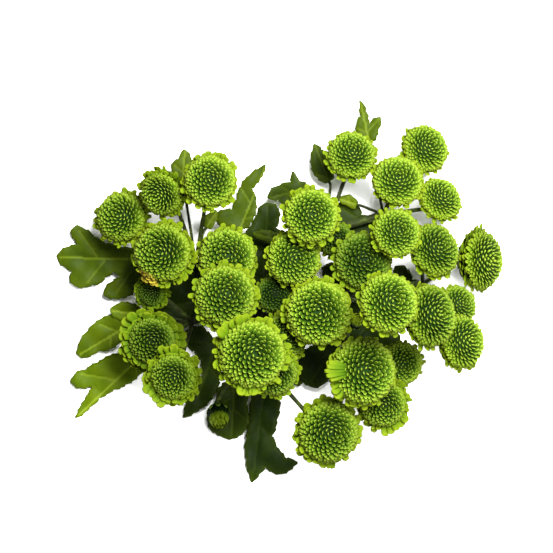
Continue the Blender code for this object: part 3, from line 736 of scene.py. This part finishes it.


# The leaves: lobed and toothed, dark satin green above with pale sunk veins, paler beneath, and darkened
# with painted shade where they lie deep under the heads. Each is one thin blade cut to its outline, lying
# where its solid lies, with the blade puffed up between the veins.
# Each leaf: the fork its stalk starts from, its painted light, low on leaves in deep shade, the pixel of
# its tip, and its outline's pixels.
LEAVES = {
    "leaf_01": ("left", 0.45, (54, 257), (
        (140, 251), (121, 247), (104, 243), (92, 236), (84, 229), (73, 225), (68, 232), (76, 244),
        (59, 249), (54, 257), (60, 266), (70, 271), (67, 278), (69, 284), (81, 288), (90, 285),
        (97, 284), (103, 278), (111, 272), (120, 276), (104, 286), (102, 296), (111, 299),
        (126, 297), (137, 288), (141, 268))),
    "leaf_02": ("lower_left", 0.70, (75, 357), (
        (126, 321), (108, 315), (93, 323), (86, 331), (79, 339), (74, 355), (81, 359), (96, 352),
        (108, 350), (120, 341), (127, 331))),
    "leaf_03": ("lower_left", 1.00, (73, 420), (
        (132, 353), (116, 354), (96, 363), (84, 370), (73, 374), (68, 384), (76, 390), (92, 387),
        (83, 400), (73, 420), (88, 409), (97, 400), (112, 391), (124, 386), (136, 378), (143, 366))),
    "leaf_04": ("lower_left", 0.90, (108, 311), (
        (141, 310), (131, 304), (118, 303), (108, 311), (113, 318), (126, 321), (140, 320))),
    "leaf_05": ("lower_left", 0.08, (146, 310), (
        (197, 292), (204, 282), (207, 268), (199, 257), (189, 263), (187, 277), (168, 281),
        (155, 286), (148, 296), (146, 310), (152, 320), (166, 328), (182, 330), (197, 312))),
    "leaf_06": ("front", 0.10, (196, 402), (
        (212, 338), (200, 326), (188, 329), (178, 340), (186, 347), (193, 352), (200, 361),
        (202, 376), (192, 391), (182, 420), (199, 411), (212, 398), (219, 382), (221, 362), (220, 348))),
    "leaf_07": ("front", 0.15, (231, 441), (
        (228, 381), (216, 392), (217, 404), (206, 416), (208, 430), (219, 438), (231, 441),
        (243, 435), (249, 424), (246, 406), (248, 394), (240, 382))),
    "leaf_08": ("front", 0.04, (252, 485), (
        (258, 380), (251, 400), (250, 420), (246, 440), (246, 461), (248, 475), (252, 485),
        (259, 477), (265, 470), (278, 477), (288, 474), (298, 464), (286, 460), (277, 449),
        (272, 438), (277, 422), (280, 402), (272, 383))),
    "leaf_09": ("front", 0.15, (302, 386), (
        (281, 366), (292, 368), (301, 374), (304, 383), (297, 387), (289, 383), (282, 376))),
    "leaf_10": ("left", 0.50, (184, 148), (
        (177, 178), (171, 171), (171, 162), (177, 158), (184, 148), (190, 155), (191, 168),
        (188, 178))),
    "leaf_11": ("left", 0.45, (266, 164), (
        (234, 228), (222, 227), (213, 217), (222, 209), (231, 209), (236, 199), (240, 186),
        (248, 175), (257, 168), (266, 164), (261, 177), (252, 188), (256, 200), (254, 216),
        (246, 228))),
    "leaf_12": ("trunk", 0.06, (268, 202), (
        (256, 290), (246, 281), (242, 264), (248, 249), (243, 236), (251, 226), (257, 214),
        (260, 205), (268, 202), (277, 205), (280, 216), (276, 227), (285, 237), (280, 250),
        (286, 263), (279, 277), (268, 290))),
    "leaf_13": ("upper", 0.15, (268, 198), (
        (306, 181), (300, 180), (292, 170), (291, 181), (280, 184), (270, 189), (268, 198),
        (278, 199), (285, 204), (295, 201), (304, 194))),
    "leaf_14": ("upper", 0.25, (315, 142), (
        (324, 182), (314, 173), (311, 159), (315, 142), (322, 148), (328, 152), (332, 164),
        (334, 178))),
    "leaf_15": ("upper_right", 0.55, (361, 98), (
        (364, 140), (356, 126), (361, 115), (361, 98), (367, 109), (370, 122), (376, 116),
        (382, 115), (380, 127), (376, 140))),
    "leaf_16": ("upper_right", 0.80, (338, 198), (
        (358, 200), (348, 194), (338, 198), (345, 204), (356, 208))),
    "leaf_17": ("left", 0.85, (217, 210), (
        (203, 225), (206, 214), (217, 210), (215, 221), (209, 229))),
    "leaf_18": ("upper", 0.25, (252, 233), (
        (283, 237), (268, 230), (252, 233), (264, 240), (281, 245))),
    "leaf_19": ("upper_right", 0.08, (337, 204), (
        (372, 236), (352, 238), (338, 232), (335, 218), (337, 204), (348, 199), (358, 203),
        (362, 214), (374, 220))),
    "leaf_20": ("right", 0.06, (350, 350), (
        (372, 306), (358, 300), (352, 286), (343, 270), (331, 262), (322, 269), (329, 284),
        (338, 297), (341, 310), (336, 324), (336, 338), (350, 350), (368, 348), (390, 350),
        (402, 342), (396, 328), (384, 318))),
    "leaf_21": ("far_right", 0.06, (395, 268), (
        (413, 275), (404, 265), (395, 268), (396, 279), (403, 287), (412, 286))),
    "leaf_22": ("trunk", 0.05, (303, 344), (
        (269, 314), (254, 316), (238, 312), (228, 320), (236, 332), (252, 340), (270, 343),
        (288, 348), (303, 344), (304, 328), (296, 314), (281, 307))),
    "leaf_23": ("lower_right", 0.05, (308, 387), (
        (334, 340), (316, 345), (304, 352), (298, 366), (301, 379), (308, 387), (320, 388),
        (329, 380), (337, 366), (341, 350))),
}
LEAF_BLADE = 0.0006
LEAF_GRID = 0.0012
LEAF_TOOTH = 0.0010


def inside(polygon, spots):
    """Which spots lie inside a polygon."""
    hits = np.zeros(len(spots), dtype=bool)
    x, y = spots[:, 0], spots[:, 1]
    for (ax, ay), (bx, by) in zip(polygon, np.roll(polygon, -1, axis=0)):
        crosses = (ay > y) != (by > y)
        reach = (bx - ax) * (y - ay) / (by - ay + 1e-12) + ax
        hits ^= crosses & (x < reach)
    return hits


def distance_to(segments, spots):
    """Shortest distance from each spot to any of the segments."""
    best = np.full(len(spots), 1.0)
    for start, end in segments:
        way = end - start
        t = np.clip(((spots - start) @ way) / (way @ way), 0.0, 1.0)
        best = np.minimum(best, np.linalg.norm(spots - start - t[:, None] * way, axis=1))
    return best


def leaf_edge(outline, rng):
    """The outline with each stretch between two corners rounded out a little."""
    area = 0.5 * np.sum(outline[:, 0] * np.roll(outline[:, 1], -1)
                        - np.roll(outline[:, 0], -1) * outline[:, 1])
    turn = 1.0 if area > 0.0 else -1.0
    edge = []
    for start, end in zip(outline, np.roll(outline, -1, axis=0)):
        way = end - start
        out = np.array((way[1], -way[0])) * turn
        length = np.hypot(*way)
        steps = max(2, int(length / 0.0009))
        puff = rng.uniform(0.03, 0.08)
        teeth = max(1, round(length / 0.0055))
        for step in range(steps):
            t = step / steps
            tooth = LEAF_TOOTH * ((t * teeth) % 1.0) ** 1.5 if length > 0.004 else 0.0
            edge.append(start + way * t + out * (puff * math.sin(math.pi * t) + tooth / length))
    return np.array(edge)


def leaf_veins(base, tip, outline):
    """The midrib, and a side vein to each lobe or tooth that stands well out from it."""
    along = tip - base
    length = np.hypot(*along)
    way = along / length
    across = np.array((-way[1], way[0]))
    midrib = [(base, base + along * 0.96)]
    sides = []
    offs = (outline - base) @ across
    runs = (outline - base) @ way / length
    for index in range(1, len(outline) - 1):
        before, here, after = np.abs(offs[index - 1]), np.abs(offs[index]), np.abs(offs[index + 1])
        if here >= before and here >= after and here > 0.10 * length and 0.12 < runs[index] < 0.97:
            foot_run = max(0.04, runs[index] - 0.75 * here / length)
            start = base + along * foot_run
            sides.append((start, start + (outline[index] - start) * 0.86))
    return midrib, sides


def solid_surface(name):
    """The surface of a CAD solid, to lay a finer piece on."""
    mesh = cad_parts[name].data
    corners = [tuple(vertex.co) for vertex in mesh.vertices]
    return BVHTree.FromPolygons(corners, [tuple(face.vertices) for face in mesh.polygons])


def make_leaf(name, rng):
    _, tone, tip_px, outline_px = LEAVES[name]
    outline = np.array([place(*point) for point in outline_px])
    base = 0.5 * (outline[0] + outline[-1])
    tip = place(*tip_px)
    edge = leaf_edge(outline, rng)
    midrib, sides = leaf_veins(base, tip, outline)
    low = edge.min(axis=0)
    high = edge.max(axis=0)
    grid = np.array([(x, y) for x in np.arange(low[0], high[0], LEAF_GRID)
                     for y in np.arange(low[1], high[1], LEAF_GRID)])
    edge_lines = list(zip(edge, np.roll(edge, -1, axis=0)))
    grid = grid[inside(edge, grid) & (distance_to(edge_lines, grid) > 0.5 * LEAF_GRID)]
    on_veins = []
    for start, end in midrib + sides:
        steps = max(2, int(np.hypot(*(end - start)) / 0.0008))
        on_veins.extend(start + (end - start) * step / steps for step in range(1, steps))
    on_veins = np.array(on_veins)
    on_veins = on_veins[inside(edge, on_veins) & (distance_to(edge_lines, on_veins) > 0.3 * LEAF_GRID)]
    grid = grid[distance_to(midrib + sides, grid) > 0.5 * LEAF_GRID]
    flat = [Vector(p) for p in np.vstack((edge, grid, on_veins))]
    result = delaunay_2d_cdt(flat, [], [list(range(len(edge)))], 1, 1e-7)
    spots = np.array([tuple(p) for p in result[0]])
    tree = solid_surface(name)
    heights = []
    middle = sum(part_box(name)[corner][2] for corner in (0, 1)) / 2
    for x, y in spots:
        hit = tree.ray_cast(Vector((x, y, 1.0)), Vector((0.0, 0.0, -1.0)))[0]
        if hit is None:
            hit = tree.find_nearest(Vector((x, y, middle)))[0]
        heights.append(hit.z)
    heights = np.array(heights)
    near_rib = distance_to(midrib, spots)
    near_side = distance_to(sides, spots) if sides else np.full(len(spots), 1.0)
    near_any = np.minimum(near_rib, near_side)
    near_edge = distance_to(edge_lines, spots)
    puff = 0.0009 * (1.0 - np.exp(-near_any / 0.0025)) * np.minimum(1.0, near_edge / 0.002)
    phase = rng.uniform(0.0, 6.28)
    curl = 0.0008 * np.sin(spots[:, 0] * 330.0 + phase) * np.cos(spots[:, 1] * 290.0 + 2.0 * phase)
    tops = np.maximum(heights + puff + curl, LEAF_BLADE + 0.0003)
    uppers = np.column_stack((spots, tops))
    lowers = np.column_stack((spots, tops - LEAF_BLADE))
    total = len(spots)
    faces = []
    edges = set()
    for face in result[2]:
        faces.append(tuple(face))
        faces.append(tuple(corner + total for corner in reversed(face)))
        edges.update(zip(face, face[1:] + face[:1]))
    for start, end in edges:
        if (end, start) not in edges:
            faces.append((end, start, start + total, end + total))
    made = bpy.data.meshes.new(name + "_blade")
    made.from_pydata(np.vstack((uppers, lowers)).tolist(), [], faces)
    vein = np.maximum(np.exp(-(near_rib / 0.0004) ** 2), 0.55 * np.exp(-(near_side / 0.00028) ** 2))
    for key, values in (("vein", vein), ("margin", np.exp(-near_edge / 0.0012)),
                        ("tone", np.full(total, tone))):
        layer = made.attributes.new(key, "FLOAT", "POINT")
        layer.data.foreach_set("value", np.concatenate((values, values)).astype(np.float32))
    made.validate()
    made.shade_smooth()
    return made


def leaf_material(name):
    made, tree, shader = new_material(name)
    coords = node(tree, "ShaderNodeTexCoord")
    noise = node(tree, "ShaderNodeTexNoise")
    noise.inputs["Scale"].default_value = 70.0
    noise.inputs["Detail"].default_value = 5.0
    tree.links.new(coords.outputs["Object"], noise.inputs["Vector"])
    # Painted light: a shaded copy and a lit copy of the blade colour, blended by each leaf's painted light,
    # so leaves lying deep under the heads get painted shade; the pale veins fade with it.
    dark = ramp(tree, noise.outputs["Fac"], (
        (0.30, (0.002, 0.005, 0.001)), (0.75, (0.006, 0.013, 0.001))))
    lit = ramp(tree, noise.outputs["Fac"], (
        (0.30, (0.026, 0.046, 0.0005)), (0.75, (0.052, 0.075, 0.0008))))
    blade = blend_colours(tree, attribute(tree, "tone"), dark, lit)
    pale = math_node(tree, "MULTIPLY", attribute(tree, "vein"), attribute(tree, "tone"))
    pale = math_node(tree, "MULTIPLY", pale, 0.85)
    vein = blend_colours(tree, pale, blade, (0.095, 0.130, 0.008, 1.0))
    margin = math_node(tree, "MULTIPLY", attribute(tree, "margin"), 0.20)
    edged = blend_colours(tree, margin, vein, (0.055, 0.080, 0.003, 1.0))
    facing = node(tree, "ShaderNodeNewGeometry")
    split = node(tree, "ShaderNodeSeparateXYZ")
    tree.links.new(facing.outputs["Normal"], split.inputs[0])
    under = math_node(tree, "LESS_THAN", split.outputs["Z"], -0.1)
    under = math_node(tree, "MULTIPLY", under, 0.55)
    both = blend_colours(tree, under, edged, (0.110, 0.150, 0.050, 1.0))
    tree.links.new(both, shader.inputs["Base Color"])
    grain = node(tree, "ShaderNodeTexVoronoi")
    grain.inputs["Scale"].default_value = 700.0
    tree.links.new(coords.outputs["Object"], grain.inputs["Vector"])
    bump = node(tree, "ShaderNodeBump")
    bump.inputs["Strength"].default_value = 0.25
    bump.inputs["Distance"].default_value = 0.0002
    tree.links.new(grain.outputs["Distance"], bump.inputs["Height"])
    tree.links.new(bump.outputs["Normal"], shader.inputs["Normal"])
    shader.inputs["Roughness"].default_value = 0.50
    shader.inputs["Specular IOR Level"].default_value = 0.025
    return made


leaf_look = leaf_material("leaf_green")
for name in LEAVES:
    rng = random.Random(name)
    leaf = show(name + "_blade", make_leaf(name, rng), leaf_look)
    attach(leaf, "root")
    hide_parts(name)

# The leaf stalks: thin stalks from the forks to the leaf bases, part of the stem.
for name, (fork, _, tip_px, outline_px) in LEAVES.items():
    first = place(*outline_px[0])
    last = place(*outline_px[-1])
    base = 0.5 * (first + last)
    edge = last - first
    inward = np.array((edge[1], -edge[0])) / np.hypot(*edge)
    inward = inward * np.sign(inward @ (base - place(*tip_px)))
    near = base - inward * 0.0006
    hit = solid_surface(name).ray_cast(Vector((*near, 1.0)), Vector((0.0, 0.0, -1.0)))[0]
    end = np.array((*(base + inward * 0.0003), hit.z - 0.0004))
    way = np.array((-inward[0], -inward[1], 0.0))
    points = curve_between(fork_at(fork), end - way * 0.003, way, 4) + [end]
    route = clear_route(points, heads, PETIOLE_RADIUS, "")
    path = smooth_path(route, 5)
    ribbed_tube(stem_heap, path, [PETIOLE_RADIUS] * len(path), 8, False)

stem = show("stem_and_stalks", stem_heap.mesh("stem_and_stalks"), stalk_material("stalk_green"))
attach(stem, "root")
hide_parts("stem")


# The floor, studio light and camera: a plain pale floor, a soft lamp high at the upper right, a weaker
# one at the lower right, and a long lens straight above, as the photograph looks down on the heads.
FLOOR_DROP = 0.0002
floor_mesh = bpy.data.meshes.new("floor")
floor_mesh.from_pydata([(-3, -3, 0), (3, -3, 0), (3, 3, 0), (-3, 3, 0)], [], [(0, 1, 2, 3)])
floor_look, _, floor_shader = new_material("floor_white")
floor_shader.inputs["Base Color"].default_value = (0.97, 0.97, 0.97, 1.0)
floor_shader.inputs["Roughness"].default_value = 0.9
floor_mesh.materials.append(floor_look)
floor = bpy.data.objects.new("floor", floor_mesh)
floor.location.z = -FLOOR_DROP
bpy.context.scene.collection.objects.link(floor)

bpy.context.scene.view_settings.view_transform = "Standard"
world = bpy.data.worlds.new("studio")
world.use_nodes = True
world.node_tree.nodes["Background"].inputs["Color"].default_value = (1.0, 1.0, 1.0, 1.0)
world.node_tree.nodes["Background"].inputs["Strength"].default_value = 0.36
bpy.context.scene.world = world


def soft_lamp(name, spot, size, power):
    lamp = bpy.data.lights.new(name, "AREA")
    lamp.size = size
    lamp.energy = power
    made = bpy.data.objects.new(name, lamp)
    made.location = spot
    made.rotation_euler = Vector((-spot[0], -spot[1], 0.05 - spot[2])).to_track_quat("-Z", "Y").to_euler()
    bpy.context.scene.collection.objects.link(made)


soft_lamp("key_lamp", (0.38, 0.52, 1.40), 0.70, 140.0)
soft_lamp("fill_lamp", (0.9, -0.7, 1.3), 1.0, 34.0)

PHOTO_SIDE_PX = 553
VIEW_HEIGHT = 0.06
CAMERA_RISE = 5.0
camera_data = bpy.data.cameras.new("camera")
camera_data.sensor_width = 36.0
camera_data.lens = camera_data.sensor_width * CAMERA_RISE / (PHOTO_SIDE_PX * SCALE)
camera = bpy.data.objects.new("camera", camera_data)
view_middle = place(PHOTO_SIDE_PX / 2, PHOTO_SIDE_PX / 2)
camera.location = (view_middle[0], view_middle[1], VIEW_HEIGHT + CAMERA_RISE)
bpy.context.scene.collection.objects.link(camera)
bpy.context.scene.camera = camera
